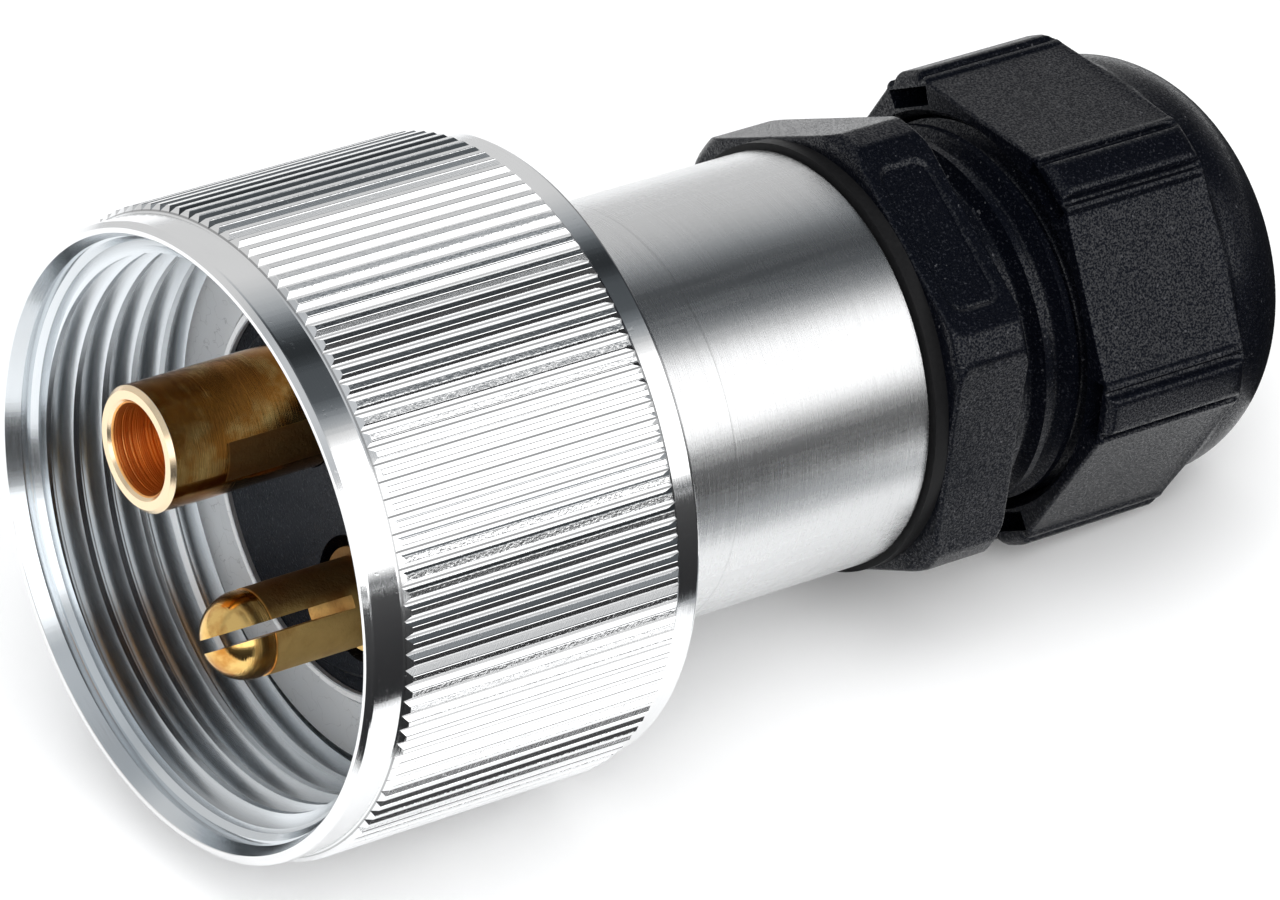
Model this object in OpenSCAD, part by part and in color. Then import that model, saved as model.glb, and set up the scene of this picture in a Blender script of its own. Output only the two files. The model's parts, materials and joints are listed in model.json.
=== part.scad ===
// Two-pole screw-coupled plug with a plastic cable gland, lying as it comes to rest.
// Every piece is drawn on its own axis, +Z to the rear, and lie() sets it down on the ground plane.

/* [Contacts] */
// Bore of the hollow contact
socket_bore_d = 5.6; // [5.0:0.1:6.4]
// Wall of the hollow contact
socket_wall = 1.05; // [0.9:0.05:1.4]
// Depth of the bore in the hollow contact
socket_bore_depth = 11; // [8:0.5:14]
// How far the hollow contact stands out of the insert
socket_reach = 11.3; // [9:0.1:13]
// Radial play of a pin in the hollow contact
contact_play = 0.15; // [0.1:0.01:0.25]
// How far the split pin stands out of the insert
pin_reach = 10.6; // [9:0.1:12.5]
// Width of the slot that splits the pin
slot_w = 0.8; // [0.6:0.05:1.1]
// Length of the slot from the tip of the pin
slot_len = 8.8; // [7:0.1:10.5]
// Distance from the pin tip to its ring groove
pin_groove_at = 2.8; // [2.7:0.1:6.5]
// Width of the ring groove
pin_groove_w = 0.4; // [0.2:0.1:0.8]
// Depth of the ring groove
pin_groove_depth = 0.06; // [0.04:0.01:0.15]
// Extra radius of the collar at the foot of the pin
pin_collar_rise = 0.55; // [0.3:0.05:0.8]
// How far that collar lies below the insert face
pin_collar_inset = 0.05; // [0:0.05:1.5]
// Height of that collar
pin_collar_h = 2; // [1.2:0.1:3]
// Free space between the two contact bodies
contact_gap = 4.3; // [3.6:0.1:6]
// Turn of the contact pair about the axis
contact_roll = 53; // [0:1:90]
// Diameter of the shank behind the contact
shank_d = 5; // [4:0.1:5.6]
// Bore of the solder cup at the end of the shank
cup_bore_d = 3.6; // [2.8:0.1:3.8]
// Depth of the solder cup
cup_depth = 5; // [3:0.5:6]
// Length of shank behind the contact nut
cup_len = 6.2; // [6.2:0.1:9]
// Width across flats of the contact nuts
contact_nut_af = 8; // [7:0.5:10]
// Height of the contact nuts
contact_nut_h = 4; // [3:0.1:5]
// Thickness of the contact washers
contact_washer_t = 0.8; // [0.5:0.1:1.2]
// How far a washer stands out past the flats of its nut
contact_washer_lip = 0.3; // [0.1:0.05:0.5]
// Clearance of nuts and washers on the shank
shank_slack = 0.05; // [0.03:0.01:0.1]

/* [Insert] */
// How far the insert stands proud of the flange
insert_proud = 1; // [0.6:0.1:1.5]
// Width of the ledge round the raised middle of the insert
ledge_w = 1.5; // [1.2:0.1:2]
// Clearance between that ledge and the lip rolled over it
ledge_slack = 0.05; // [0.03:0.01:0.1]
// Length of the insert behind its seat
insert_tail = 9.4; // [7:0.1:13]
// Depth of the contact shoulders below the insert face
contact_seat = 6.2; // [5:0.1:8]
// Clearance of the insert in the sleeve
insert_slack = 0.1; // [0.05:0.01:0.2]
// Clearance of a contact in the insert
hole_slack = 0.06; // [0.04:0.01:0.12]
// Chamfer on the raised edge of the insert
insert_chamfer = 0.3; // [0.2:0.05:0.6]

/* [Sleeve] */
// Space between the contact nuts and the tube bore
bore_room = 0.65; // [0.5:0.05:1.5]
// Wall of the tube
tube_wall = 2.35; // [1.9:0.05:3.2]
// Height of the flange above the tube
flange_rise = 3.6; // [2.8:0.1:4.4]
// Width of the flange face round the insert
flange_face_w = 4.2; // [3.8:0.1:4.6]
// Depth of the seat for the insert
seat_depth = 3.2; // [2.4:0.1:4.5]
// Metal left behind that seat
seat_floor = 1.4; // [1:0.1:2.5]
// Thickness of the rolled lip round the insert
lip_t = 0.3; // [0.25:0.01:0.4]
// How far that lip stands in front of the flange
lip_rise = 0.4; // [0.3:0.05:0.6]
// How far it reaches over the ledge of the insert
lip_reach = 0.3; // [0.2:0.05:0.5]
// Width of the groove outside the rolled lip
lip_groove_w = 0.25; // [0.15:0.01:0.35]
// Depth of that groove
lip_groove_depth = 0.25; // [0.15:0.01:0.4]
// Free length for the wires between the solder cups and the gland
wire_room = 0.6; // [0.5:0.1:8]
// Chamfer at the rear end of the tube
tube_chamfer = 0.25; // [0.1:0.05:0.5]

/* [Coupling nut] */
// Distance from the nut's front face to the flange
flange_inset = 11.4; // [10.6:0.1:14]
// Radial room for the flange to pass the thread
flange_room = 0.32; // [0.2:0.01:0.8]
// Depth of the thread
thread_depth = 1.08; // [0.9:0.01:1.3]
// Depth of the mouth in front of the thread
mouth_depth = 1.85; // [1.5:0.05:2.5]
// Depth of the wide front step of the mouth
mouth_step_depth = 1.15; // [0.8:0.05:1.3]
// Radial width of that step
mouth_step = 0.15; // [0.1:0.01:0.2]
// Radial room between the thread and the mouth
mouth_relief = 0.22; // [0.18:0.01:0.4]
// Width of the relief groove behind the thread
thread_relief = 2; // [1:0.1:5]
// Width of the flat front rim
rim_w = 0.75; // [0.5:0.05:1.2]
// Chamfer on the outer edges of the nut
nut_chamfer = 0.3; // [0.2:0.05:0.5]
// Length of the smooth band in front of the knurl
front_band = 2.3; // [1.5:0.1:4]
// Length of the smooth band behind the knurl
rear_band = 1.7; // [1:0.1:4]
// Number of ridges in the knurl
knurl_count = 120; // [96:4:132]
// Depth of the knurl
knurl_depth = 0.34; // [0.25:0.01:0.42]
// Height of the knurl's valleys above the smooth bands
knurl_rise = 0.1; // [0.05:0.01:0.2]
// Width of a ridge's flat top
knurl_top_w = 0.34; // [0.2:0.01:0.5]
// Thickness of the nut's rear wall
rear_wall = 6.6; // [4:0.1:9]
// Clearance of the nut on the tube
nut_slack = 0.25; // [0.2:0.01:0.4]
// Thickness of the thrust washer between flange and nut
thrust_t = 0.8; // [0.5:0.1:1.2]

/* [Gland] */
// Width across flats of the gland body and its cap
wrench_af = 27; // [26:0.5:32]
// Height of the gland's corners above its flats
gland_corner_rise = 1.6; // [1.2:0.05:1.9]
// Length of the gland's hexagon
gland_hex_len = 5.4; // [4.5:0.1:8]
// Turn of the gland's hexagon about the axis
gland_roll = 2.8; // [0:0.1:60]
// Edge chamfer of the gland's hexagon
gland_chamfer = 0.5; // [0.3:0.05:0.8]
// Thickness of the gasket at the end of the tube
gasket_t = 0.95; // [0.6:0.05:1.5]
// How far the gasket stands out past the tube
gasket_lip = 0.4; // [0.2:0.05:0.5]
// Length of the threaded spigot in the tube
spigot_len = 9.5; // [8:0.1:14]
// Wall of the spigot
spigot_wall = 2.55; // [2.2:0.05:3.2]
// Clearance of the spigot in the tube
spigot_slack = 0.1; // [0.05:0.01:0.15]
// Length of the neck that carries the cap
neck_len = 9.4; // [8.6:0.1:9.6]
// Wall of the neck
neck_wall = 1.6; // [1.4:0.05:2]
// Thickness of the shoulder under the clamping cage
cage_floor = 6; // [5.6:0.1:8]
// Length of the recessed panel on one flat
panel_len = 10; // [7:0.1:11]
// Height of that panel
panel_h = 3.4; // [2.5:0.1:3.6]
// Corner radius of that panel
panel_r = 0.8; // [0.4:0.1:1.1]
// Depth of that panel
panel_depth = 0.2; // [0.1:0.05:0.4]

/* [Cap] */
// Distance from the gland's hexagon to the mouth of the loosened cap
cap_gap = 5.85; // [5.4:0.05:7]
// Wall between the cap's thread and its flats
cap_wall = 1.3; // [1.1:0.05:1.6]
// Clearance of the cap on the neck
cap_slack = 0.3; // [0.2:0.01:0.4]
// Length of the cap's flats
cap_hex_len = 11.2; // [10.4:0.1:14]
// Height of the cap's corner strips above its flats
cap_corner_rise = 1.5; // [1.2:0.05:1.8]
// Edge chamfer of the cap's corner strips
cap_chamfer = 0.6; // [0.3:0.05:0.9]
// Width of the grooves beside the corner strips
strip_groove_w = 0.5; // [0.3:0.05:0.7]
// Depth of those grooves
strip_groove_depth = 0.3; // [0.2:0.05:0.4]
// Width of the pockets that thin the cap's corners
pocket_w = 3.6; // [2.4:0.1:4]
// Height of those pockets
pocket_h = 1.2; // [0.8:0.05:1.3]
// Depth of those pockets
pocket_depth = 5; // [2:0.1:8]
// Wall between those pockets and the cap's thread
pocket_wall = 0.6; // [0.5:0.05:0.7]
// How far the foot of the dome lies inside the flats
dome_inset = 0.1; // [0.05:0.05:0.4]
// Rounding of the dome
dome_round = 6.3; // [5.6:0.1:7]
// Depth of the cap's thread
cap_thread_len = 9.2; // [8.8:0.1:10.2]
// Step at the end of the cap's thread
cap_thread_step = 1; // [0.6:0.1:1.4]
// Clearance of the cable in the cap's hole beyond the seal
cable_room = 0.7; // [0.4:0.1:1.2]
// Thickness of the cap's end round the cable hole
cap_end_t = 2.2; // [1.8:0.1:2.6]

/* [Clamp] */
// Clearance of the clamping cage in the neck
cage_slack = 0.25; // [0.2:0.01:0.4]
// Wall of the cage
cage_wall = 1.05; // [0.9:0.05:1.2]
// Length of the cage
cage_len = 10.2; // [9:0.1:10.4]
// Length of the cage's closed ring
cage_ring = 2.4; // [2:0.1:3.5]
// Number of slots between the claws
claw_count = 8; // [6:1:10]
// Width of those slots
claw_slot_w = 1.1; // [0.8:0.1:1.4]
// Inward lip that carries the seal
cage_lip = 1; // [0.6:0.1:1.5]
// Thickness of that lip
cage_lip_t = 1; // [0.8:0.1:1.6]
// Chamfer on the tips of the claws
claw_chamfer = 0.4; // [0.2:0.05:0.6]
// Gap between the claws and the cone in the cap
claw_gap = 0.3; // [0.2:0.05:0.5]
// Wall of the seal
seal_wall = 2.45; // [2:0.05:3]
// Clearance of the seal in the cage
seal_slack = 0.05; // [0.03:0.01:0.1]
// How far the seal ends short of the claws
seal_short = 0.6; // [0.3:0.1:1.5]

/* [Hidden] */
$fn = 96;
// Overlap that carries a cut past the face it opens
cut = 1;

// Contacts and tube, from the contact system outwards
socket_d = socket_bore_d + 2 * socket_wall;
pin_d = socket_bore_d - 2 * contact_play;
contact_offset = (socket_d + contact_gap) / 2;
contact_washer_d = contact_nut_af + 2 * contact_washer_lip;
tube_bore_r = contact_offset + contact_nut_af / 2 + bore_room;
tube_r = tube_bore_r + tube_wall;
flange_r = tube_r + flange_rise;
seat_r = flange_r - flange_face_w;
flange_t = seat_depth + seat_floor;

// Coupling nut, from the flange outwards
thread_minor_r = flange_r + flange_room;
thread_major_r = thread_minor_r + thread_depth;
mouth_r = thread_major_r + mouth_relief;
face_r = mouth_r + rim_w;
band_r = face_r + nut_chamfer;
knurl_root_r = band_r + knurl_rise;
knurl_r = knurl_root_r + knurl_depth;
// Half the angle of a ridge's flat top
knurl_top_a = asin(knurl_top_w / 2 / knurl_r);

// Stations along the axis, from the nut's front face
flange_z = flange_inset;
insert_z = flange_z - insert_proud;
lip_z = flange_z - lip_rise;
ledge_z = lip_z + lip_t + ledge_slack;
seat_z = flange_z + seat_depth;
tube_z = flange_z + flange_t;
shoulder_z = tube_z + thrust_t;
nut_len = shoulder_z + rear_wall;
knurl_end_z = nut_len - rear_band;
contact_z = insert_z + contact_seat;
tail_z = seat_z + insert_tail;
contact_nut_z = tail_z + contact_washer_t;
cup_z = contact_nut_z + contact_nut_h + cup_len;
spigot_z = cup_z + wire_room;
tube_end_z = spigot_z + spigot_len;
gland_z = tube_end_z + gasket_t;
neck_z = gland_z + gland_hex_len;
neck_end_z = neck_z + neck_len;
cap_z = neck_z + cap_gap;
dome_z = cap_z + cap_hex_len;

// Gland, from the wrench size inwards
flat_r = wrench_af / 2;
cap_bore_r = flat_r - cap_wall;
neck_r = cap_bore_r - cap_slack;
cage_bore_r = neck_r - neck_wall;
cage_r = cage_bore_r - cage_slack;
cage_inner_r = cage_r - cage_wall;
seal_r = cage_inner_r - seal_slack;
cable_r = seal_r - seal_wall;
cap_hole_r = cable_r + cable_room;
dome_r = flat_r - dome_inset;
dome_ring_r = dome_r - dome_round;
dome_end_z = dome_z + dome_round;
cone_z = cap_z + cap_thread_len;
cone_r = cap_bore_r - cap_thread_step;
cone_end_z = dome_end_z - cap_end_t;
cage_bore_z = gland_z + cage_floor;
// Where the cone in the cap is as wide as the claws' tips
tip_r = cage_r - claw_chamfer;
claw_end_z = cone_z + (cone_r - tip_r) / (cone_r - cap_hole_r) * (cone_end_z - cone_z) - claw_gap;
cage_z = claw_end_z - cage_len;

// Rest: the last ridge of the knurl and the rear edge of one flat touch the ground
rest_r = knurl_r * cos(knurl_top_a);
rest_z = knurl_end_z - (knurl_r - band_r);
tilt = atan((rest_r - flat_r) / (dome_z - rest_z));
lift = rest_z * sin(tilt) + rest_r * cos(tilt);
front_x = -face_r * sin(tilt);
rear_x = dome_z * cos(tilt) + dome_ring_r * sin(tilt) + dome_round;
mid_x = (front_x + rear_x) / 2;

// Sets a piece drawn along +Z down on the ground plane, its front towards -X
module lie() {
    translate([-mid_x, 0, lift])
        rotate([0, tilt, 0])
            rotate([90, 0, 90])
                children();
}

// Plain ring between two radii
module ring(outer, inner, from, to) {
    translate([0, 0, from])
        difference() {
            cylinder(r = outer, h = to - from);
            translate([0, 0, -cut]) cylinder(r = inner, h = to - from + 2 * cut);
        }
}

// Place of a contact: side +1 is the hollow contact, -1 the split pin
module at_contact(side) {
    rotate([0, 0, contact_roll])
        translate([side * contact_offset, 0, 0])
            children();
}

// Hexagon prism with its corners turned down to a circle and both rims chamfered
module turned_hex(corner_r, chamfer, from, to) {
    intersection() {
        translate([0, 0, from]) cylinder(r = flat_r / cos(30), h = to - from, $fn = 6);
        rotate_extrude()
            polygon([[0, from], [corner_r - chamfer, from], [corner_r, from + chamfer],
                     [corner_r, to - chamfer], [corner_r - chamfer, to], [0, to]]);
    }
}

// Outline of the knurl across the axis: flat ridge tops and V valleys
module knurl_outline() {
    step = 360 / knurl_count;
    polygon([for (i = [0 : knurl_count - 1])
             for (p = [[knurl_r, -knurl_top_a], [knurl_r, knurl_top_a], [knurl_root_r, step / 2]])
             let (a = i * step + p[1])
             [p[0] * cos(a), p[0] * sin(a)]]);
}

// Knurled band with 45 degree ends
module knurl() {
    height = knurl_r - band_r + nut_chamfer;
    intersection() {
        translate([0, 0, front_band])
            linear_extrude(knurl_end_z - front_band)
                knurl_outline();
        rotate_extrude()
            polygon([[0, front_band], [band_r, front_band], [band_r + height, front_band + height],
                     [band_r + height, knurl_end_z - height], [band_r, knurl_end_z], [0, knurl_end_z]]);
    }
}

module coupling_nut() {
    color("gainsboro")
    lie()
    difference() {
        union() {
            rotate_extrude()
                polygon([[0, 0], [face_r, 0], [band_r, nut_chamfer], [band_r, nut_len - nut_chamfer],
                         [face_r, nut_len], [0, nut_len]]);
            knurl();
        }
        rotate_extrude()
            polygon([[0, -cut], [mouth_r, -cut], [mouth_r, mouth_step_depth],
                     [mouth_r - mouth_step, mouth_step_depth], [mouth_r - mouth_step, mouth_depth],
                     [thread_minor_r, mouth_depth], [thread_minor_r, shoulder_z - thread_relief],
                     [thread_major_r, shoulder_z - thread_relief], [thread_major_r, shoulder_z],
                     [0, shoulder_z]]);
        translate([0, 0, shoulder_z - cut]) cylinder(r = tube_r + nut_slack, h = rear_wall + 2 * cut);
    }
}

module thrust_washer() {
    color("dimgray") lie() ring(flange_r, tube_r + nut_slack, tube_z, shoulder_z);
}

module sleeve() {
    edge = lip_t / 3;
    color("silver")
    lie()
    rotate_extrude()
        polygon([[seat_r - lip_reach, lip_z], [seat_r + lip_t - edge, lip_z], [seat_r + lip_t, lip_z + edge],
                 [seat_r + lip_t, flange_z + lip_groove_depth],
                 [seat_r + lip_t + lip_groove_w, flange_z + lip_groove_depth],
                 [seat_r + lip_t + lip_groove_w, flange_z], [flange_r, flange_z], [flange_r, tube_z],
                 [tube_r, tube_z], [tube_r, tube_end_z - tube_chamfer], [tube_r - tube_chamfer, tube_end_z],
                 [tube_bore_r, tube_end_z], [tube_bore_r, seat_z], [seat_r, seat_z],
                 [seat_r, lip_z + lip_t], [seat_r - lip_reach, lip_z + lip_t]]);
}

module insert() {
    head_r = seat_r - insert_slack;
    plate_r = head_r - ledge_w;
    color("#1c1c1e")
    lie()
    difference() {
        rotate_extrude()
            polygon([[0, insert_z], [plate_r - insert_chamfer, insert_z],
                     [plate_r, insert_z + insert_chamfer], [plate_r, ledge_z], [head_r, ledge_z],
                     [head_r, seat_z], [tube_bore_r - insert_slack, seat_z],
                     [tube_bore_r - insert_slack, tail_z], [0, tail_z]]);
        for (side = [1, -1]) at_contact(side) {
            translate([0, 0, insert_z - cut]) cylinder(d = socket_d + 2 * hole_slack, h = contact_seat + cut);
            translate([0, 0, contact_z - cut])
                cylinder(d = shank_d + 2 * hole_slack, h = tail_z - contact_z + 2 * cut);
        }
    }
}

// Shank with its solder cup, shared by both contacts
module shank() {
    difference() {
        translate([0, 0, contact_z - cut]) cylinder(d = shank_d, h = cup_z - contact_z + cut);
        translate([0, 0, cup_z - cup_depth]) cylinder(d = cup_bore_d, h = cup_depth + cut);
    }
}

module socket_contact() {
    edge = socket_wall / 4;
    tip = insert_z - socket_reach;
    color("goldenrod")
    lie()
    at_contact(1)
    union() {
        rotate_extrude()
            polygon([[0, tip + socket_bore_depth], [socket_bore_d / 2, tip + socket_bore_depth],
                     [socket_bore_d / 2, tip + edge], [socket_bore_d / 2 + edge, tip],
                     [socket_d / 2 - edge, tip], [socket_d / 2, tip + edge], [socket_d / 2, contact_z],
                     [0, contact_z]]);
        shank();
    }
}

module pin_contact() {
    r = pin_d / 2;
    tip = insert_z - pin_reach;
    collar_z = insert_z + pin_collar_inset;
    color("goldenrod")
    lie()
    at_contact(-1)
    union() {
        difference() {
            union() {
                translate([0, 0, tip + r]) sphere(r = r);
                translate([0, 0, tip + r]) cylinder(r = r, h = collar_z - tip - r + cut);
            }
            ring(r + cut, r - pin_groove_depth, tip + pin_groove_at, tip + pin_groove_at + pin_groove_w);
            translate([-slot_w / 2, -r - cut, tip - cut]) cube([slot_w, 2 * (r + cut), slot_len + cut]);
        }
        translate([0, 0, collar_z]) cylinder(r = r + pin_collar_rise, h = pin_collar_h + cut);
        translate([0, 0, collar_z + pin_collar_h])
            cylinder(d = socket_d, h = contact_z - collar_z - pin_collar_h);
        shank();
    }
}

module contact_washer(side) {
    color("lightgray")
    lie() at_contact(side)
        ring(contact_washer_d / 2, shank_d / 2 + shank_slack, tail_z, contact_nut_z);
}

module contact_nut(side) {
    color("khaki")
    lie() at_contact(side)
    difference() {
        translate([0, 0, contact_nut_z])
            rotate([0, 0, 30]) cylinder(d = contact_nut_af / cos(30), h = contact_nut_h, $fn = 6);
        translate([0, 0, contact_nut_z - cut])
            cylinder(r = shank_d / 2 + shank_slack, h = contact_nut_h + 2 * cut);
    }
}

module socket_washer() { contact_washer(1); }
module pin_washer() { contact_washer(-1); }
module socket_nut() { contact_nut(1); }
module pin_nut() { contact_nut(-1); }

module gland_gasket() {
    color("#202022") lie() ring(tube_r + gasket_lip, tube_bore_r, tube_end_z, gland_z);
}

// Rounded rectangle in the XY plane
module rounded_plate(w, h, r) {
    square([w - 2 * r, h], center = true);
    square([w, h - 2 * r], center = true);
    for (x = [-1, 1], y = [-1, 1])
        translate([x * (w / 2 - r), y * (h / 2 - r)]) circle(r = r);
}

module gland_body() {
    spigot_r = tube_bore_r - spigot_slack;
    bore_r = spigot_r - spigot_wall;
    color("#161618")
    lie()
    difference() {
        union() {
            translate([0, 0, spigot_z]) cylinder(r = spigot_r, h = gland_z - spigot_z + cut);
            rotate([0, 0, gland_roll - 30])
                turned_hex(flat_r + gland_corner_rise, gland_chamfer, gland_z, neck_z);
            translate([0, 0, neck_z - cut]) cylinder(r = neck_r, h = neck_len + cut);
        }
        translate([0, 0, spigot_z - cut]) cylinder(r = bore_r, h = neck_end_z - spigot_z + 2 * cut);
        translate([0, 0, cage_bore_z]) cylinder(r = cage_bore_r, h = neck_end_z - cage_bore_z + cut);
        rotate([0, 0, gland_roll + 120])
            translate([flat_r - panel_depth, 0, (gland_z + neck_z) / 2])
                rotate([90, 0, 90]) linear_extrude(cut) rounded_plate(panel_len, panel_h, panel_r);
    }
}

module clamp_cage() {
    color("#2a2a2c")
    lie()
    difference() {
        rotate_extrude()
            polygon([[cage_inner_r - cage_lip, cage_z], [cage_r, cage_z], [cage_r, claw_end_z - claw_chamfer],
                     [tip_r, claw_end_z], [cage_inner_r, claw_end_z], [cage_inner_r, cage_z + cage_lip_t],
                     [cage_inner_r - cage_lip, cage_z + cage_lip_t]]);
        for (i = [0 : claw_count - 1])
            rotate([0, 0, i * 360 / claw_count])
                translate([0, -claw_slot_w / 2, cage_z + cage_ring])
                    cube([cage_r + cut, claw_slot_w, cage_len]);
    }
}

module cable_seal() {
    color("#303032") lie() ring(seal_r, cable_r, cage_z + cage_lip_t, claw_end_z - seal_short);
}

module dome_cap() {
    corner_r = flat_r + cap_corner_rise;
    half_flat = sqrt(corner_r * corner_r - flat_r * flat_r);
    color("#131315")
    lie()
    difference() {
        union() {
            turned_hex(corner_r, cap_chamfer, cap_z, dome_z);
            rotate_extrude() {
                polygon([[0, cap_z + cut], [dome_r, cap_z + cut], [dome_r, dome_z], [dome_ring_r, dome_z],
                         [dome_ring_r, dome_end_z], [0, dome_end_z]]);
                intersection() {
                    translate([dome_ring_r, dome_z]) circle(r = dome_round);
                    translate([dome_ring_r, dome_z]) square(dome_round);
                }
            }
        }
        rotate_extrude()
            polygon([[0, cap_z - cut], [cap_bore_r, cap_z - cut], [cap_bore_r, cone_z], [cone_r, cone_z],
                     [cap_hole_r, cone_end_z], [cap_hole_r, dome_end_z + cut], [0, dome_end_z + cut]]);
        for (i = [0 : 5], side = [-1, 1])
            rotate([0, 0, 30 + i * 60])
                translate([flat_r - strip_groove_depth,
                           side * (half_flat - strip_groove_w) - strip_groove_w / 2, cap_z - cut])
                    cube([cut, strip_groove_w, cap_hex_len + cut]);
        for (i = [0 : 5])
            rotate([0, 0, i * 60])
                translate([cap_bore_r + pocket_wall, -pocket_w / 2, cap_z - cut])
                    cube([pocket_h, pocket_w, pocket_depth + cut]);
    }
}

coupling_nut();
thrust_washer();
sleeve();
insert();
socket_contact();
pin_contact();
socket_washer();
pin_washer();
socket_nut();
pin_nut();
gland_gasket();
gland_body();
clamp_cage();
cable_seal();
dome_cap();
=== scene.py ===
"""Looks of a screw-coupled two-pole plug: turned aluminium, brass contacts, black plastic cable gland."""
import json
import math

import bmesh
import bpy
import numpy as np
from bpy.props import FloatProperty, FloatVectorProperty, IntProperty, PointerProperty
from mathutils import Matrix, Vector


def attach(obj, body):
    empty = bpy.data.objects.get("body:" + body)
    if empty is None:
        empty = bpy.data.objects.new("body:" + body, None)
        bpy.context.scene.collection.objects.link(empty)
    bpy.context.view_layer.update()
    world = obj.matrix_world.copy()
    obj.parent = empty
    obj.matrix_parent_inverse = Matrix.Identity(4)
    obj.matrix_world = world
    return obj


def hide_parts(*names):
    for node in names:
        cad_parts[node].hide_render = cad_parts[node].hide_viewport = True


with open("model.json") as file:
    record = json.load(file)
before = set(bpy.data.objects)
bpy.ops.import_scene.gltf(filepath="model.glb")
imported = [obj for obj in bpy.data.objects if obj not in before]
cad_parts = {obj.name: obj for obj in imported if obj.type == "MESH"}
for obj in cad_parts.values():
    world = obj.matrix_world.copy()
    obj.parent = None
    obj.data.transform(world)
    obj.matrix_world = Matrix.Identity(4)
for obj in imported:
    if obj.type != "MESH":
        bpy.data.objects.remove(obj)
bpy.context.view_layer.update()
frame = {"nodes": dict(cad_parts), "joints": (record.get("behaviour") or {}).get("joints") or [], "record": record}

bl_info = {
    "name": "Two-pole plug",
    "version": (1, 0, 0),
    "blender": (4, 5, 0),
    "location": "View3D > Sidebar > Plug",
    "description": "Dresses the plug's solids: threads, knurl, moulded gland and their finishes",
    "category": "Object",
}

MM = 0.001

# The plug's own axes: the nut's joint gives the axis, and its place lies 12 mm behind the nut's front face
TURN = next(j for j in frame["joints"] if j["name"] == "nut_turn")
BACK = Vector(TURN["axis"]).normalized()
SIDE = Vector((0, 1, 0))
NOSE = Vector(TURN["pos_m"]) - BACK * 12 * MM
LIE = Matrix.Translation(NOSE) @ Matrix((SIDE, BACK.cross(SIDE), BACK)).transposed().to_4x4()

# Places in millimetres that the finishes ask for: radii, and lengths behind the nut's front face
LAND_END = 1.84
# Radii over which painted shade darkens the nut's thread towards its roots
ROOT_SHADE_FROM, ROOT_SHADE_TO = 17.1, 17.9
FLANGE_FACE = 11.7
LIP_R, LIP_FACE = 12.4, 11.2
SCRIBED_AT = 30.7
SOCKET_X, SOCKET_Y = 3.611, 4.792
SOCKET_END, SOCKET_CUT = 11.0, -0.62
BORE_R_SQUARED = 8.3
PIN_X, PIN_Y = -3.611, -4.792
PIN_SHANK = 2.9, 3.1


class PlugSizes(bpy.types.PropertyGroup):
    """Sizes in millimetres, as in the part's source."""

    pitch: FloatProperty(name="Coupling pitch", description="Pitch of the inner thread", default=2.0)
    thread_r: FloatProperty(name="Thread crest", description="Crest radius of the inner thread",
                            default=16.92)
    thread_depth: FloatProperty(name="Thread depth", description="Depth of the inner thread", default=1.08)
    ridges: IntProperty(name="Ridges", description="Ridges in the knurl", default=120)
    knurl_r: FloatProperty(name="Knurl crest", description="Radius over the knurl", default=19.71)
    flat_r: FloatProperty(name="Flat radius", description="Half the width across flats", default=13.5)
    neck_r: FloatProperty(name="Neck crest", description="Crest radius of the gland's thread", default=11.9)
    neck_pitch: FloatProperty(name="Neck pitch", description="Pitch of the gland's thread", default=2.0)


class PlugColours(bpy.types.PropertyGroup):
    """Colours of the finishes."""

    bright: FloatVectorProperty(name="Bright aluminium", description="Turned coupling nut", subtype="COLOR",
                                default=(0.86, 0.865, 0.87))
    satin: FloatVectorProperty(name="Satin aluminium", description="Sleeve", subtype="COLOR",
                               default=(0.74, 0.745, 0.75))
    brass: FloatVectorProperty(name="Brass", description="Contacts", subtype="COLOR",
                               default=(0.78, 0.52, 0.18))
    black: FloatVectorProperty(name="Black plastic", description="Gland and cap", subtype="COLOR",
                               default=(0.0018, 0.0023, 0.0044))
    floor: FloatVectorProperty(name="Floor", description="Pale floor", subtype="COLOR",
                               default=(0.97, 0.97, 0.97))


def sizes():
    return bpy.context.scene.plug_sizes


def colours():
    return bpy.context.scene.plug_colours


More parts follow.
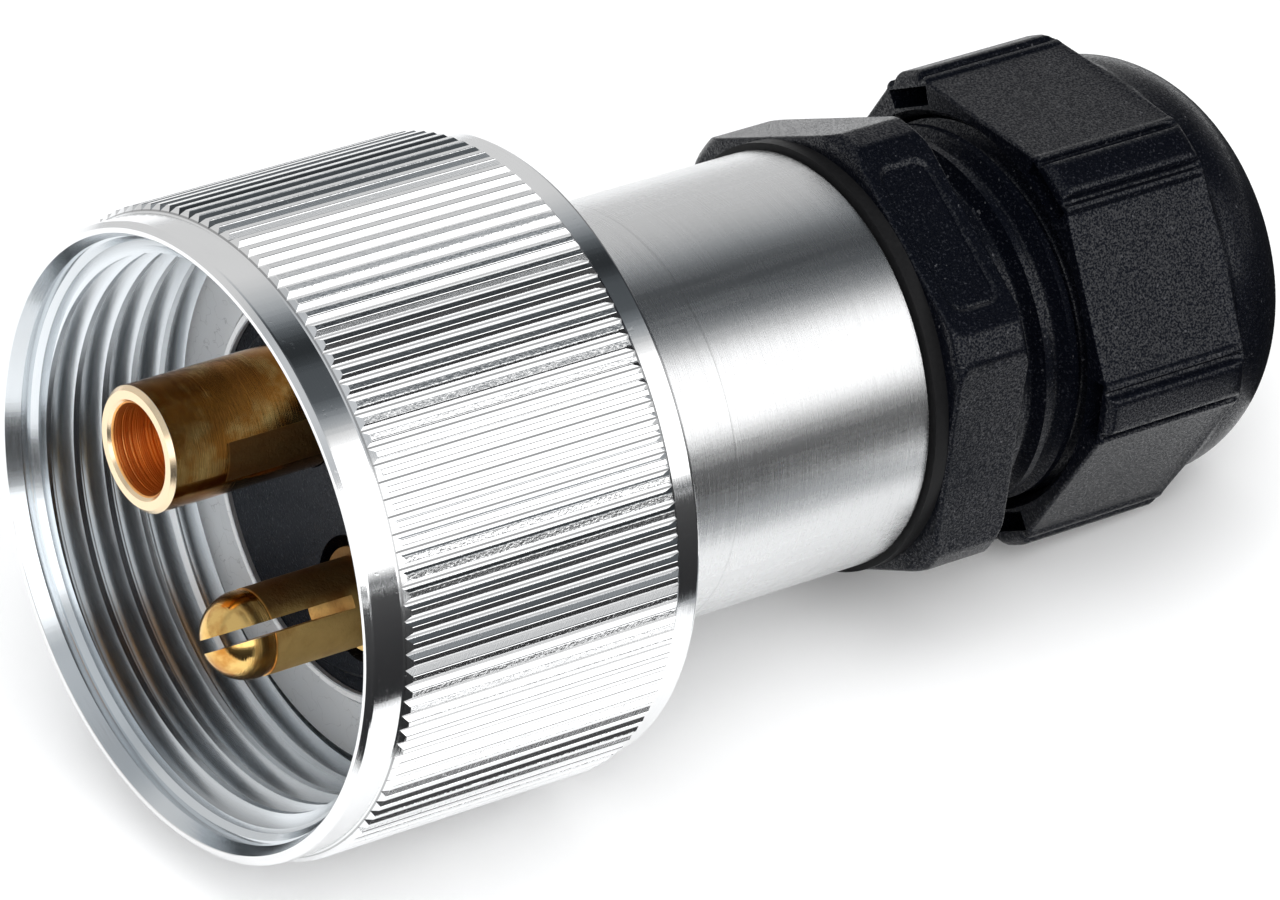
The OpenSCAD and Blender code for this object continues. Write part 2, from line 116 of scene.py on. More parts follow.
class Value:
    """A shader socket on which plain sums work."""

    def __init__(self, tree, socket):
        self.tree = tree
        self.socket = socket

    def make(self, kind, settings=None, out=0, **links):
        """Adds a node: its settings first, then the values or links of its sockets by name or number."""
        node = self.tree.nodes.new(kind)
        for key, value in (settings or {}).items():
            if key == "stops":
                ramp = node.color_ramp
                while len(ramp.elements) > 1:
                    ramp.elements.remove(ramp.elements[-1])
                ramp.elements[0].position = value[0][0]
                for place, _ in value[1:]:
                    ramp.elements.new(place)
                for element, (_, shade) in zip(ramp.elements, value):
                    element.color = (*shade, 1) if isinstance(shade, tuple) else (shade, shade, shade, 1)
            else:
                setattr(node, key, value)
        for key, value in links.items():
            name = key.replace("_", " ")
            socket = node.inputs[int(key[1:])] if key[0] == "i" and key[1:].isdigit() else node.inputs[name]
            if isinstance(value, Value):
                self.tree.links.new(value.socket, socket)
            else:
                socket.default_value = value
        return Value(self.tree, node.outputs[out])

    def sum(self, operation, a, b=0.0):
        return self.make("ShaderNodeMath", {"operation": operation}, i0=a, i1=b)

    def __add__(self, other):
        return self.sum("ADD", self, other)

    __radd__ = __add__

    def __mul__(self, other):
        return self.sum("MULTIPLY", self, other)

    def __sub__(self, other):
        return self.sum("SUBTRACT", self, other)

    def __rsub__(self, other):
        return self.sum("SUBTRACT", other, self)

    def __truediv__(self, other):
        return self.sum("DIVIDE", self, other)

    def __pow__(self, other):
        return self.sum("POWER", self, other)

    def below(self, limit):
        """1 where this is less than the limit, else 0."""
        return self.sum("LESS_THAN", self, limit)

    def ramp(self, start, end, top=1.0):
        """0 at start, rising evenly to top at end."""
        return self.make("ShaderNodeMapRange", Value=self, From_Min=start, From_Max=end, To_Max=top)

    def ease(self, start, end, top=1.0):
        """0 at start, rising to top at end with soft ends."""
        return self.make("ShaderNodeMapRange", {"interpolation_type": "SMOOTHSTEP"}, Value=self,
                         From_Min=start, From_Max=end, To_Max=top)

    def near(self, centre, width):
        """1 within width of centre, falling to 0 over the same width again."""
        return self.sum("ABSOLUTE", self - centre).ease(2 * width, width)

    def mix(self, a, b):
        """Colour a where this is 0 and b where it is 1."""
        return self.make("ShaderNodeMix", {"data_type": "RGBA"}, out=2, i0=self, i6=a, i7=b)


def rgba(colour, scale=1.0):
    return (colour[0] * scale, colour[1] * scale, colour[2] * scale, 1.0)


class Finish:
    """A material with its surface shader and the plug's own coordinates in millimetres."""

    def __init__(self, name, **uniform):
        self.material = bpy.data.materials.new(name)
        self.material.use_nodes = True
        tree = self.material.node_tree
        self.shader = next(n for n in tree.nodes if n.type == "BSDF_PRINCIPLED")
        for key, value in uniform.items():
            self.shader.inputs[key.replace("_", " ")].default_value = value
        self.start = Value(tree, None)
        where = self.start.make("ShaderNodeTexCoord", out=3)
        turn = LIE.to_euler()
        self.place = self.start.make("ShaderNodeMapping", {"vector_type": "TEXTURE"}, Vector=where,
                                     Location=LIE.translation[:], Rotation=turn[:], Scale=(MM, MM, MM))
        split = self.start.make("ShaderNodeSeparateXYZ", Vector=self.place).socket.node
        self.x, self.y, self.z = (Value(tree, split.outputs[i]) for i in range(3))
        self.r = (self.x * self.x + self.y * self.y) ** 0.5

    def noise(self, scale, detail=2.0, rough=0.5, at=None):
        return self.start.make("ShaderNodeTexNoise", {"noise_dimensions": "3D"}, Vector=at or self.place,
                               Scale=scale, Detail=detail, Roughness=rough)

    def lines(self, value, scale, detail=3.0):
        """Noise along one measure only: turning marks."""
        return self.start.make("ShaderNodeTexNoise", {"noise_dimensions": "1D"}, W=value * scale, Scale=1.0,
                               Detail=detail, Roughness=0.6)

    def vector(self, x, y, z):
        return self.start.make("ShaderNodeCombineXYZ", X=x, Y=y, Z=z)

    def feed(self, **sockets):
        for key, value in sockets.items():
            self.start.tree.links.new(value.socket, self.shader.inputs[key.replace("_", " ")])

    def bump(self, height, strength, distance):
        self.feed(Normal=self.start.make("ShaderNodeBump", Height=height, Strength=strength,
                                         Distance=distance * MM))


def bright_aluminium():
    """Turned and polished: fine rings on the faces, rougher knurl valleys darkened in colour by dirt and by
    painted shade, a little haze, the odd nick.
    """
    f = Finish("bright_aluminium", Metallic=1.0)
    rings = f.lines(f.z + f.r * 1.7, 9.0)
    fine = f.lines(f.z * 1.3 + f.r, 30.0, 2.0)
    haze = f.noise(0.35, 3.0)
    nick = f.noise(2.2, 2.0, 0.6).ramp(0.66, 0.74)
    bright = colours().bright
    top = sizes().knurl_r
    # Knurl valleys: rougher, and their colour halved, partly as dirt and partly as painted shade
    valley = f.r.near(top - 0.325, 0.03)
    ridge = f.r.ramp(top - 0.05, top)
    mottle = f.noise(5.0, 2.0, 0.6) * ridge
    tone = (rings * 0.5 + haze * 0.5).mix(rgba(bright, 0.92), rgba(bright, 1.06))
    f.feed(Base_Color=valley.mix(tone, rgba(bright, 0.5)),
           Roughness=0.03 + rings * 0.05 + haze * 0.05 + nick * 0.10 + valley * 0.12 + ridge * 0.06)
    f.bump(rings * 0.6 + fine * 0.4 - nick * 0.5 + mottle * 6.0, 0.30, 0.010)
    return f.material


def thread_aluminium():
    """Inside of the nut: clean lands at the mouth, and a single-point thread whose colour is darkened towards its
    roots as painted shade.
    """
    f = Finish("thread_aluminium", Metallic=1.0)
    drag = f.noise(0.8, 3.0, 0.6, f.vector(f.x * 0.5, f.y * 0.5, f.z * 9.0))
    haze = f.noise(0.3, 3.0)
    bright = colours().bright
    cool = (bright[0] * 0.94, bright[1] * 0.98, bright[2] * 1.01)
    land = f.z.below(LAND_END)
    tone = (drag * 0.6 + haze * 0.4).mix(rgba(cool, 0.86), rgba(cool, 1.02))
    # Painted shade: the thread's colour falls to about half towards its roots
    tone = f.r.ramp(ROOT_SHADE_FROM, ROOT_SHADE_TO).mix(tone, rgba(cool, 0.48))
    f.feed(Base_Color=land.mix(tone, rgba(cool, 0.88)),
           Roughness=0.13 + drag * 0.10 + haze * 0.08 - land * 0.05)
    f.bump(drag, 0.12, 0.02)
    return f.material


def satin_aluminium():
    """Drawn tube skimmed on a lathe: close rings, a scribed line, light rubs and a rougher flange face whose
    colour is painted paler as painted light.
    """
    f = Finish("satin_aluminium", Metallic=1.0)
    rings = f.lines(f.z + f.r * 1.4, 12.0)
    fine = f.lines(f.z + f.r, 45.0, 2.0)
    rubs = f.noise(1.0, 2.0, 0.55, f.vector(f.x * 1.6, f.y * 1.6, f.z * 0.08))
    scribe = f.z.near(SCRIBED_AT, 0.05)
    satin = colours().satin
    face = f.z.below(FLANGE_FACE)
    scratch = f.noise(0.9, 1.5, 0.55).near(0.5, 0.004) * face
    lip = f.r.near(LIP_R, 0.15) * f.z.below(LIP_FACE)
    tone = (rings * 0.5 + rubs * 0.5).mix(rgba(satin, 0.90), rgba(satin, 1.08))
    # Painted light: the flange face's colour is raised well above the tube's, so that it looks lit inside the
    # mouth
    tone = face.mix(tone, rgba(satin, 1.28))
    f.feed(Base_Color=(scribe * 0.25 + scratch * 0.3).mix(tone, rgba(satin, 0.6)),
           Roughness=0.17 + rings * 0.10 + rubs * 0.09 + face * 0.28)
    f.bump(rings * 0.5 + fine * 0.5 - scribe * 0.6 - scratch + lip * (f.r - LIP_R) * 40.0, 0.5, 0.016)
    return f.material


def brass_finish():
    """Machined brass: tool marks, darker films, a bore painted brighter and redder as painted light, a paler
    colour ahead of the nut's face as painted highlight, and a pin shank darker towards the socket and brighter on
    its far side.
    """
    f = Finish("contact_brass", Metallic=1.0)
    rings = f.lines(f.z, 14.0)
    film = f.noise(0.55, 4.0, 0.6)
    grit = f.noise(4.0, 2.0, 0.6)
    brass = colours().brass
    worn = (brass[0] * 0.72, brass[1] * 0.46, brass[2] * 0.26, 1.0)
    handled = f.x.ramp(-1.0, 1.0, 0.16)
    across, up = f.x - SOCKET_X, f.y - SOCKET_Y
    bore = (across * across + up * up).below(BORE_R_SQUARED) * f.z.below(SOCKET_END)
    cut = f.z.below(SOCKET_CUT)
    shank = f.x.below(0.0) * f.z.ramp(*PIN_SHANK)
    above = (f.x - PIN_X) * 0.6 + (f.y - PIN_Y) * 0.8
    # The pin's shank is painted darker on its side towards the socket and brighter on its far side
    socket_side_dark = shank * (above + film).ramp(0.4, 1.6)
    far_side_bright = shank * above.ramp(0.2, -1.2)
    tone = (film + handled).ramp(0.42, 0.66).mix(rgba(brass, 1.08), worn)
    # Painted highlight: brass ahead of the nut's face is coloured pale, standing in for bright highlights on the
    # socket's end
    tone = cut.mix(tone, (0.93, 0.74, 0.50, 1))
    tone = (socket_side_dark * 0.9).mix(tone, (0.17, 0.085, 0.03, 1))
    tone = (far_side_bright * (1.3 - film)).mix(tone, (1.0, 0.70, 0.27, 1))
    # Painted light: the bore's colour is brighter and redder than the rest of the brass, standing in for light
    # inside the deep bore
    f.feed(Base_Color=bore.mix(tone, (1.0, 0.53, 0.18, 1)),
           Roughness=0.05 + rings * 0.08 + film * 0.05 + bore * 0.22 + shank * 0.42 + cut * 0.12)
    f.bump(rings * 0.8 + film * 0.2 + shank * grit * 7.0 + bore * f.lines(f.z, 8.0, 2.0) * 8.0, 0.4, 0.015)
    return f.material


def moulded_black(name, grain, roughness, shine, glint):
    """Black moulding with a fine spark-eroded grain that glints, lighter specks painted into its colour as glints,
    and a few pale specks of dust.
    """
    f = Finish(name, Specular_IOR_Level=shine, Specular_Tint=(0.70, 0.78, 1.0, 1), Coat_Roughness=0.22)
    cells = f.noise(grain, 3.0, 0.6)
    cloud = f.noise(0.25, 2.0)
    spark = f.noise(6.5, 1.0, 0.5).ramp(0.60, 0.74)
    dust = f.noise(2.6, 1.0, 0.5).ramp(0.74, 0.78)
    gloss = f.noise(8.0, 1.0, 0.5).ramp(0.40, 0.66)
    black = colours().black
    tone = (cells * 0.6 + cloud * 0.4).mix(rgba(black, 0.5), rgba(black, 1.1))
    # Painted glints: the grain's specks are coloured lighter to stand in for its glints; the same specks also
    # raise the bump as real grain
    tone = (spark * 0.8).mix(tone, (0.018, 0.019, 0.024, 1))
    f.feed(Base_Color=(dust * 0.3).mix(tone, (0.16, 0.16, 0.17, 1)),
           Coat_Weight=gloss * glint,
           Roughness=roughness + (cells - 0.5) * 0.18 + (cloud - 0.5) * 0.08)
    f.bump(cells + spark * 0.6, 0.7, 0.045)
    return f.material


def rubber_black():
    """Matt rubber of the gasket and the cable seal."""
    f = Finish("black_rubber", Specular_IOR_Level=0.12)
    cells = f.noise(4.0, 2.0)
    f.feed(Base_Color=cells.mix((0.004, 0.004, 0.0045, 1), (0.010, 0.010, 0.0105, 1)),
           Roughness=0.42 + cells * 0.2)
    f.bump(cells, 0.3, 0.03)
    return f.material


def plain_metal(name, colour, roughness):
    """Plated metal with light scuffs."""
    f = Finish(name, Metallic=1.0)
    scuff = f.noise(1.6, 3.0)
    f.feed(Base_Color=scuff.mix(rgba(colour, 0.85), rgba(colour, 1.1)), Roughness=roughness + scuff * 0.15)
    f.bump(scuff, 0.2, 0.02)
    return f.material


def grey_fibre():
    """Pressed fibre of the thrust washer."""
    f = Finish("grey_fibre")
    strand = f.noise(2.4, 3.0)
    f.feed(Base_Color=strand.mix((0.09, 0.09, 0.09, 1), (0.2, 0.2, 0.19, 1)), Roughness=0.6 + strand * 0.2)
    f.bump(strand, 0.3, 0.03)
    return f.material


FINISHES = {}


def finish(name):
    """The finish of that name, made when it is first asked for."""
    makers = {
        "bright_aluminium": bright_aluminium,
        "thread_aluminium": thread_aluminium,
        "satin_aluminium": satin_aluminium,
        "contact_brass": brass_finish,
        "black_polyamide": lambda: moulded_black("black_polyamide", 6.0, 0.34, 0.07, 0.72),
        "black_insert": lambda: moulded_black("black_insert", 6.0, 0.30, 0.10, 0.20),
        "black_rubber": rubber_black,
        "plated_steel": lambda: plain_metal("plated_steel", (0.62, 0.61, 0.58), 0.22),
        "grey_washer": grey_fibre,
    }
    if name not in FINISHES:
        FINISHES[name] = makers[name]()
    return FINISHES[name]


def lathe(name, angles, rows, sharp, inside=None, screw=None):
    """Closed shell from rows of radius and height, given at each angle, that run round a loop.

    The faces from row number inside onwards take the second finish. A screw is a row number, with the
    radii, heights and faces of the thread that fills the gap after that row."""
    n = len(angles)
    cos, sin = np.cos(angles), np.sin(angles)
    rings = []
    for radius, height in rows:
        radius = np.broadcast_to(radius, n)
        height = np.broadcast_to(height, n)
        rings.append(np.stack([radius * cos, radius * sin, height], 1))
    count = len(rows)
    gap = None
    if screw:
        gap, radius, height, thread = screw
        rings.append(np.stack([radius * cos, radius * sin, height], -1).reshape(-1, 3))
    points = np.concatenate(rings) * MM
    spin = np.array(LIE.to_3x3())
    points = points @ spin.T + np.array(LIE.translation)
    k = np.arange(n)
    after = (k + 1) % n
    strips = [i for i in range(count) if i != gap]
    faces = [np.stack([i * n + k, i * n + after, (i + 1) % count * n + after, (i + 1) % count * n + k], 1)
             for i in strips]
    second = np.repeat([inside is not None and i >= inside for i in strips], n)
    if screw:
        faces.append(thread + count * n)
        second = np.concatenate([second, np.full(len(thread), inside is not None)])
    faces = np.concatenate(faces)
    mesh = bpy.data.meshes.new(name)
    mesh.vertices.add(len(points))
    mesh.vertices.foreach_set("co", points.ravel())
    mesh.loops.add(faces.size)
    mesh.loops.foreach_set("vertex_index", faces.ravel())
    mesh.polygons.add(len(faces))
    mesh.polygons.foreach_set("loop_start", np.arange(len(faces)) * 4)
    mesh.polygons.foreach_set("material_index", second.astype(np.int32))
    mesh.update(calc_edges=True)
    weld = bmesh.new()
    weld.from_mesh(mesh)
    bmesh.ops.remove_doubles(weld, verts=weld.verts, dist=0.001 * MM)
    weld.to_mesh(mesh)
    weld.free()
    mesh.validate()
    mesh.shade_smooth()
    mesh.set_sharp_from_angle(angle=math.radians(sharp))
    piece = bpy.data.objects.new(name, mesh)
    bpy.context.scene.collection.objects.link(piece)
    return piece


def stand_for(piece, node, body, slot):
    """The piece stands for a CAD node, moves with its body and takes that slot's finish."""
    piece.data.materials.append(finish(slot))
    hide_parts(node)
    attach(piece, body)


def smooth(low, high, value):
    t = np.clip((value - low) / (high - low), 0, 1)
    return t * t * (3 - 2 * t)


def soft_min(a, b, blend):
    """The lower of two heights with a rounded meeting."""
    h = np.clip(0.5 + (b - a) / (2 * blend), 0, 1)
    return b + (a - b) * h - blend * h * (1 - h)


def thread_wave(angles, height, pitch, crest, root):
    """0 on the crest and 1 in the valley of a right-hand thread whose flanks round off into the valley.

    Crest and root are the flats there, as shares of the pitch."""
    u = np.abs((height / pitch - angles / (2 * math.pi) + 0.5) % 1 - 0.5)
    t = np.clip((u - crest / 2) / (0.5 - crest / 2 - root / 2), 0, 1)
    return 0.45 * t + 0.55 * np.sin(t * math.pi / 2)


def screw_sheet(angles, low, high, pitch, crest, rising):
    """Heights of a grid that follows a right-hand thread between two heights, and its faces."""
    n, parts = len(angles), 12
    shares = np.concatenate([[-crest / 2], crest / 2 + (1 - crest) * np.arange(parts) / parts])
    turns = np.arange(math.floor(low / pitch) - 2, math.ceil(high / pitch) + 2)
    base = np.sort((turns[:, None] + shares).ravel()) * pitch
    step = len(shares)
    first, last = 0, len(base) - 1 - step
    if not rising:
        base = base[::-1]
        first, last, step = step, len(base) - 1, -step
    height = np.clip(base[:, None] + pitch * angles / (2 * math.pi), low, high)
    i, k = np.meshgrid(np.arange(first, last), np.arange(n), indexing="ij")
    here = i * n + k
    after = np.where(k == n - 1, (i + step) * n, here + 1)
    faces = np.stack([here, after, after + n, here + n], -1).reshape(-1, 4)
    ends = height.ravel()[faces]
    return height, faces[(ends.min(1) < high) & (ends.max(1) > low)]


class PLUG_OT_coupling_nut(bpy.types.Operator):
    """Coupling nut with its knurl, flared mouth and inner thread"""

    bl_idname = "plug.coupling_nut"
    bl_label = "Coupling nut"

    def execute(self, context):
        s = sizes()
        top, root = s.knurl_r, s.knurl_r - 0.34
        band, face = 19.27, 18.97
        front, rear, length = 2.3, 21.7, 23.4
        step, half = 2 * math.pi / s.ridges, math.asin(0.17 / top)
        within, beyond, eased = half - 0.0011, half + 0.0008, top - 0.016
        shape = [(-beyond, eased), (-within, top), (within, top), (beyond, eased), (step / 2, root)]
        angles = np.array([i * step + a for i in range(s.ridges) for a, _ in shape])
        crest = np.array([r for _ in range(s.ridges) for _, r in shape])
        mouth, inner, flare, lead = 18.22, 18.1, 0.40, 17.75
        groove, land_end, step_at = mouth + 0.06, 0.9, 1.5
        hole, wall, relief, relief_from = 13.25, 16.8, s.thread_r + s.thread_depth, 14.84
        low, high, crest_share = 1.85, 14.8, 0.2
        run_out = crest - band
        rim = [(face - 0.04, 0), (face + 0.03, 0.06), (band - 0.04, 0.26), (band, 0.36), (band, 0.40)]
        outer = [(mouth + flare, 0.03), (mouth + flare + 0.05, 0)] + rim
        outer += [(band, front), (crest, front + run_out), (crest, rear - run_out), (band, rear)]
        outer += [(radius, length - z) for radius, z in reversed(rim)]
        outer += [(hole + 0.05, length), (hole, length - 0.05), (hole, wall), (relief, wall),
                  (relief, relief_from)]

        def cut(z):
            return s.thread_r + s.thread_depth * thread_wave(angles, z, s.pitch, crest_share, 0.0)

        height, faces = screw_sheet(angles, low, high, s.pitch, crest_share, False)
        inner_rows = [(cut(high), high), (cut(low), low), (np.maximum(lead, cut(low)), low), (inner, step_at),
                      (groove, step_at - 0.04), (groove, land_end + 0.05), (mouth, land_end)]
        nut = lathe("coupling_nut_turned", angles, outer + inner_rows, 22, len(outer) - 3,
                    (len(outer), cut(height), height, faces))
        stand_for(nut, "coupling_nut", "coupling", "bright_aluminium")
        nut.data.materials.append(finish("thread_aluminium"))
        return {"FINISHED"}


def hexagon(angles, flat_r, turn):
    """Distance to a hexagon's flats at each angle, and the way along the nearest flat."""
    a = (angles - turn + math.pi / 6) % (math.pi / 3) - math.pi / 6
    return flat_r / np.cos(a), flat_r * np.tan(a)


def edge_round(height, low, high, radius):
    """How far a rounded rim draws in near the ends of a height range."""
    near = np.clip(np.minimum(height - low, high - height), 0, radius)
    return radius - math.sqrt(max(radius ** 2 - (radius - near) ** 2, 0))


class PLUG_OT_gland_body(bpy.types.Operator):
    """Gland body: spigot, six-sided collar with a bare panel, threaded neck"""

    bl_idname = "plug.gland_body"
    bl_label = "Gland body"

    def execute(self, context):
        s = sizes()
        angles = np.linspace(0, 2 * math.pi, 720, endpoint=False)
        low, high = 46.05, 51.45
        corner, corner_end, blend, rim = 15.1, 14.6, 0.12, 0.25
        panel_x, panel_z, panel_r = 4.2, 0.9, 0.8
        flat, along = hexagon(angles, s.flat_r, math.radians(2.8))
        panel_side = np.cos(angles - math.radians(122.8)) > math.cos(math.radians(30))
        collar = []
        heights = [[low], np.linspace(low + 0.04, low + 0.4, 6), np.linspace(low + 0.55, high - 0.55, 46),
                   np.linspace(high - 0.4, high - 0.04, 6), [high]]
        for z in np.concatenate(heights):
            edge = min(corner, corner_end + min(z - low, high - z))
            radius = soft_min(flat, edge, blend) - edge_round(z, low, high, rim)
            mid = abs(z - (low + high) / 2)
            away = np.hypot(np.maximum(np.abs(along) - panel_x, 0), max(mid - panel_z, 0)) - panel_r
            groove = smooth(0.16, 0.05, np.abs(away))
            pocket = smooth(0.05, -0.10, away)
            collar.append((radius - panel_side * (0.16 * pocket + 0.12 * groove), z))
        wire, spigot, bore, tip = 8.0, 10.55, 10.3, 10.9
        front, seat, rear = 35.6, 52.05, 60.85
        foot, end = high + 0.05, 60.5
        depth, crest_share, root_share = 1.05, 0.24, 0.2

        def neck(z):
            return s.neck_r - depth * thread_wave(angles, z, s.neck_pitch, crest_share, root_share)

        height, faces = screw_sheet(angles, foot, end, s.neck_pitch, crest_share, True)
        rows = [(wire, front), (spigot - 0.25, front), (spigot, front + 0.25), (spigot, low)]
        rows += collar + [(neck(foot), foot)]
        gap = len(rows) - 1
        rows += [(neck(end), end), (tip, rear), (bore, rear), (bore, seat), (wire, seat)]
        gland = lathe("gland_body_moulded", angles, rows, 40, None, (gap, neck(height), height, faces))
        stand_for(gland, "gland_body", "plug_body", "black_polyamide")
        return {"FINISHED"}


class PLUG_OT_dome_cap(bpy.types.Operator):
    """Gland cap: flats, ribbed corner strips, domed end, chamfered mouth and corner pockets"""

    bl_idname = "plug.dome_cap"
    bl_label = "Dome cap"

    def execute(self, context):
        s = sizes()
        angles = np.linspace(0, 2 * math.pi, 960, endpoint=False)
        mouth, foot, ring, bend = 57.3, 68.5, 7.1, 6.3
        corner, corner_front, corner_rear, slope = 15.0, 14.55, 14.0, 1.1
        flat, along = hexagon(angles, s.flat_r, math.radians(30))
        along = np.abs(along)
        rib_at, groove_at, strip_from, strip_to = 5.55, 6.1, 6.25, 6.5
        side_foot, side_top = 0.34, 0.12
        rib = smooth(side_foot, side_top, np.abs(along - rib_at))
        groove = smooth(side_foot, side_top, np.abs(along - groove_at))
        strip = smooth(strip_from, strip_to, along)
        relief = 0.16 * rib - 0.26 * groove + 0.08 * strip - 0.16
        body = []
        heights = [[mouth], np.linspace(mouth + 0.03, mouth + 0.5, 7),
                   np.linspace(mouth + 0.8, foot - 1.0, 16), np.linspace(foot - 0.8, foot, 12)]
        for z in np.concatenate(heights):
            edge = min(corner, corner_front + (z - mouth), corner_rear + (foot - z) * slope)
            lift = relief * float(smooth(foot - 0.4, foot - 1.3, z))
            radius = soft_min(flat + lift, edge, 0.1) - edge_round(z, mouth, 2 * foot, 0.18)
            sink = float(smooth(foot - 0.7, foot, z))
            body.append((radius * (1 - sink) + np.minimum(radius, ring + bend) * sink, z))
        sweep = np.linspace(0.03, math.pi / 2, 28)
        dome = [(ring + bend * math.cos(t), foot + bend * math.sin(t)) for t in sweep]
        bore, shoulder, hole, rear = 12.2, 66.5, 7.2, 74.8
        inside = [(hole + 0.15, rear), (hole, rear - 0.15), (hole, 72.6), (11.2, shoulder), (bore, shoulder),
                  (bore, mouth + 0.5), (bore + 0.35, mouth + 0.08), (bore + 0.42, mouth)]
        pocket_in, pocket_out, pocket_half, pocket_depth = 12.8, 14.0, math.atan(1.8 / 13.4), 5.0
        turn = (angles + math.pi / 6) % (math.pi / 3) - math.pi / 6
        well = mouth + pocket_depth * (np.abs(turn) < pocket_half)
        rim = np.minimum(pocket_out / np.cos(turn), body[0][0] - 0.08)
        wall = np.minimum(pocket_in / np.cos(turn), rim - 0.06)
        inside += [(wall, mouth), (wall + 0.01, well), (rim - 0.01, well), (rim, mouth)]
        cap = lathe("dome_cap_moulded", angles, body + dome + inside, 40)
        stand_for(cap, "dome_cap", "cap", "black_polyamide")
        return {"FINISHED"}


class PLUG_OT_finishes(bpy.types.Operator):
    """Finishes of the solids that show as they are"""

    bl_idname = "plug.finishes"
    bl_label = "Finishes"

    def execute(self, context):
        slots = {p["node"]: p["material_slot"] for p in frame["record"]["subparts"]}
        for name, node in frame["nodes"].items():
            node.data.materials.clear()
            node.data.materials.append(finish(slots[name]))
        return {"FINISHED"}


def card(name, corners, material):
    """Flat piece of the studio."""
    mesh = bpy.data.meshes.new(name)
    mesh.from_pydata(corners, [], [range(len(corners))])
    mesh.materials.append(material)
    piece = bpy.data.objects.new(name, mesh)
    bpy.context.scene.collection.objects.link(piece)
    return piece


def matte(name, shade, **uniform):
    """Plain material for the studio's own pieces."""
    material = bpy.data.materials.new(name)
    material.use_nodes = True
    shader = next(n for n in material.node_tree.nodes if n.type == "BSDF_PRINCIPLED")
    shader.inputs["Base Color"].default_value = shade
    for key, value in uniform.items():
        shader.inputs[key.replace("_", " ")].default_value = value
    return material


def lay_ground():
    """Pale floor, and cards on it that only reflections see."""
    reach = 3
    pale = matte("pale_floor", rgba(colours().floor), Roughness=0.9, Specular_IOR_Level=0.1)
    card("floor", [(-reach, -reach, 0), (reach, -reach, 0), (reach, reach, 0), (-reach, reach, 0)], pale)
    dark = matte("dark_card", (0.008, 0.008, 0.009, 1), Roughness=1.0)
    grey = matte("grey_card", (0.30, 0.31, 0.32, 1), Roughness=1.0)
    ahead = ((-0.6, -0.9), (0.6, -0.9), (0.6, -0.042), (-0.05, -0.042), (-0.05, -0.025), (-0.6, -0.025))
    behind = ((0.042, -0.041), (0.6, -0.041), (0.6, 0.055), (0.042, 0.055))
    beside = ((0.0, -0.042), (0.0235, -0.042), (0.0235, -0.026), (0.0, -0.026))
    for name, corners, material in (("dark_flag", ahead, dark), ("rear_flag", behind, dark),
                                    ("side_flag", beside, grey)):
        flag = card(name, [(x, y, 0.2 * MM) for x, y in corners], material)
        flag.visible_camera = False
        flag.visible_diffuse = False
        flag.visible_shadow = False


def bluish(value):
    """A grey that turns a little bluer the darker it is."""
    depth = max(0.0, 1 - value / 0.7)
    return (value * (1 - 0.14 * depth), value * (1 - 0.02 * depth), value * (1 + 0.08 * depth))


def light_studio(scene):
    """Soft boxes round the plug's length as the reflections see them, a white backdrop and two lamps."""
    world = bpy.data.worlds.new("studio")
    scene.world = world
    world.use_nodes = True
    tree = world.node_tree
    start = Value(tree, None)
    way = start.make("ShaderNodeTexCoord", out=0)
    split = start.make("ShaderNodeSeparateXYZ", Vector=way).socket.node
    along, across, up = (Value(tree, split.outputs[i]) for i in range(3))
    round_axis = start.sum("ARCTAN2", up, across) / (2 * math.pi)
    turn = start.sum("FRACT", round_axis + 1.0)
    # Brightness by the angle in degrees round the plug's length, from its far side over the top
    stops = [(0, 0.72), (50, 0.72), (57, 0.62), (64, 0.50), (70, 0.37), (76, 0.18), (81, 0.08), (86, 0.032),
             (92, 0.032), (98, 0.09), (111, 0.10), (115, 0.20), (120, 0.40), (126, 0.80), (133, 1.9),
             (174, 1.9), (176.5, 0.9), (178.5, 0.08), (181, 0.03), (186, 0.5), (220, 0.8), (300, 0.8),
             (359, 0.72)]
    glow = start.make("ShaderNodeValToRGB", {"stops": [(a / 360, bluish(v)) for a, v in stops]}, Fac=turn)
    front_top = along.ease(0.10, -0.25) * turn.near(95 / 360, 18 / 360)
    rear = along.ease(0.62, 0.85, 0.75)
    glow = front_top.mix(glow, (0.62, 0.64, 0.66, 1))
    glow = rear.mix(glow, (0.02, 0.021, 0.025, 1))
    seen = start.make("ShaderNodeLightPath", out=0)
    sky = seen.mix(glow, (1, 1, 1, 1))
    back = next(n for n in tree.nodes if n.type == "BACKGROUND")
    tree.links.new(sky.socket, back.inputs["Color"])

    target = Vector((0, 0, 0.015))
    for name, place, size, power in (("overhead", (0.05, -0.10, 0.75), 0.8, 3.8),
                                     ("key", (-0.45, -0.55, 0.55), 0.5, 2.0)):
        lamp = bpy.data.lights.new(name, "AREA")
        lamp.size = size
        lamp.energy = power
        light = bpy.data.objects.new(name, lamp)
        light.location = place
        light.rotation_euler = (target - Vector(place)).to_track_quat("-Z", "Y").to_euler()
        light.visible_glossy = False
        scene.collection.objects.link(light)


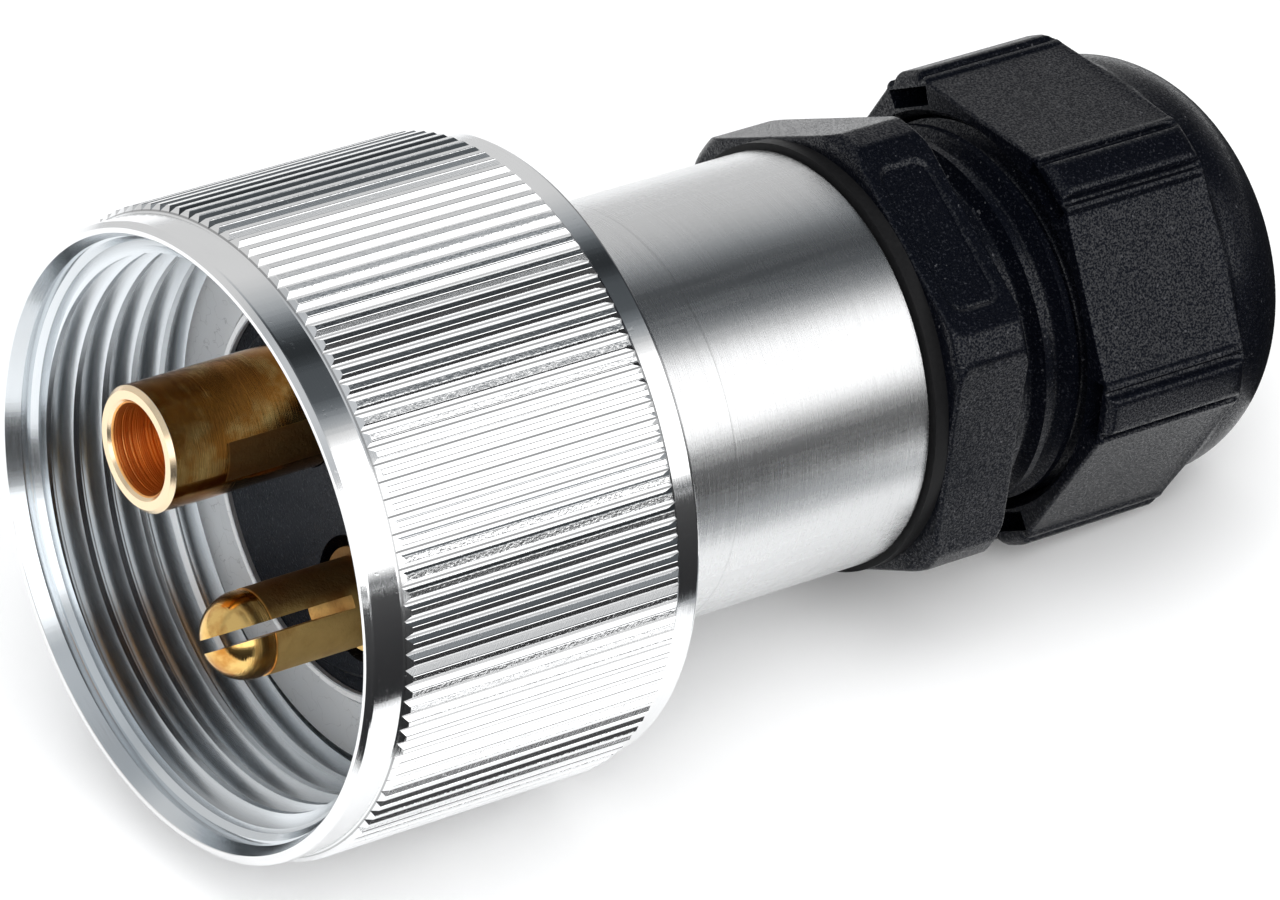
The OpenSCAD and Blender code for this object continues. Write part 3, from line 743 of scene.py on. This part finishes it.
def aim_camera(scene):
    """The camera as it was solved from the round edges and the hexagons."""
    width_px, focal_px, shift_px = 1280, 8923.2, (-6.5, -26.4)
    lens = bpy.data.cameras.new("camera")
    lens.sensor_fit = "HORIZONTAL"
    lens.sensor_width = 36
    lens.lens = focal_px * lens.sensor_width / width_px
    lens.shift_x = shift_px[0] / width_px
    lens.shift_y = shift_px[1] / width_px
    lens.clip_start = 0.01
    lean = math.radians(-52.9)
    cos, sin = math.cos(lean), math.sin(lean)

    def own(x, y, z):
        """From the solved frame to the plug's own axes: right, up, back."""
        return Vector((y * sin - z * cos, y * cos + z * sin, x))

    spin = LIE.to_3x3()
    right = spin @ own(0.80428, 0.51871, 0.28997)
    down = spin @ own(-0.24484, -0.15536, 0.95703)
    look = right.cross(down)
    place = LIE @ (own(-255.77, 448.67, 0.0) * MM)
    eye = bpy.data.objects.new("camera", lens)
    eye.matrix_world = Matrix.Translation(place) @ Matrix((right, -down, -look)).transposed().to_4x4()
    scene.collection.objects.link(eye)
    scene.camera = eye


class PLUG_OT_stage(bpy.types.Operator):
    """Pale floor, studio light and the camera"""

    bl_idname = "plug.stage"
    bl_label = "Stage"

    def execute(self, context):
        context.scene.view_settings.view_transform = "Standard"
        lay_ground()
        light_studio(context.scene)
        aim_camera(context.scene)
        return {"FINISHED"}


class PLUG_PT_panel(bpy.types.Panel):
    bl_label = "Two-pole plug"
    bl_idname = "PLUG_PT_panel"
    bl_space_type = "VIEW_3D"
    bl_region_type = "UI"
    bl_category = "Plug"

    def draw(self, context):
        for operator in STEPS:
            self.layout.operator(operator.bl_idname)
        for group in (context.scene.plug_sizes, context.scene.plug_colours):
            for name in group.__annotations__:
                self.layout.prop(group, name)


STEPS = (PLUG_OT_finishes, PLUG_OT_coupling_nut, PLUG_OT_gland_body, PLUG_OT_dome_cap, PLUG_OT_stage)
CLASSES = (PlugSizes, PlugColours) + STEPS + (PLUG_PT_panel,)


def register():
    for cls in CLASSES:
        bpy.utils.register_class(cls)
    bpy.types.Scene.plug_sizes = PointerProperty(type=PlugSizes)
    bpy.types.Scene.plug_colours = PointerProperty(type=PlugColours)


def unregister():
    del bpy.types.Scene.plug_colours
    del bpy.types.Scene.plug_sizes
    for cls in reversed(CLASSES):
        bpy.utils.unregister_class(cls)


def main():
    register()
    for step in STEPS:
        group, name = step.bl_idname.split(".")
        getattr(getattr(bpy.ops, group), name)()


if __name__ == "__main__":
    main()
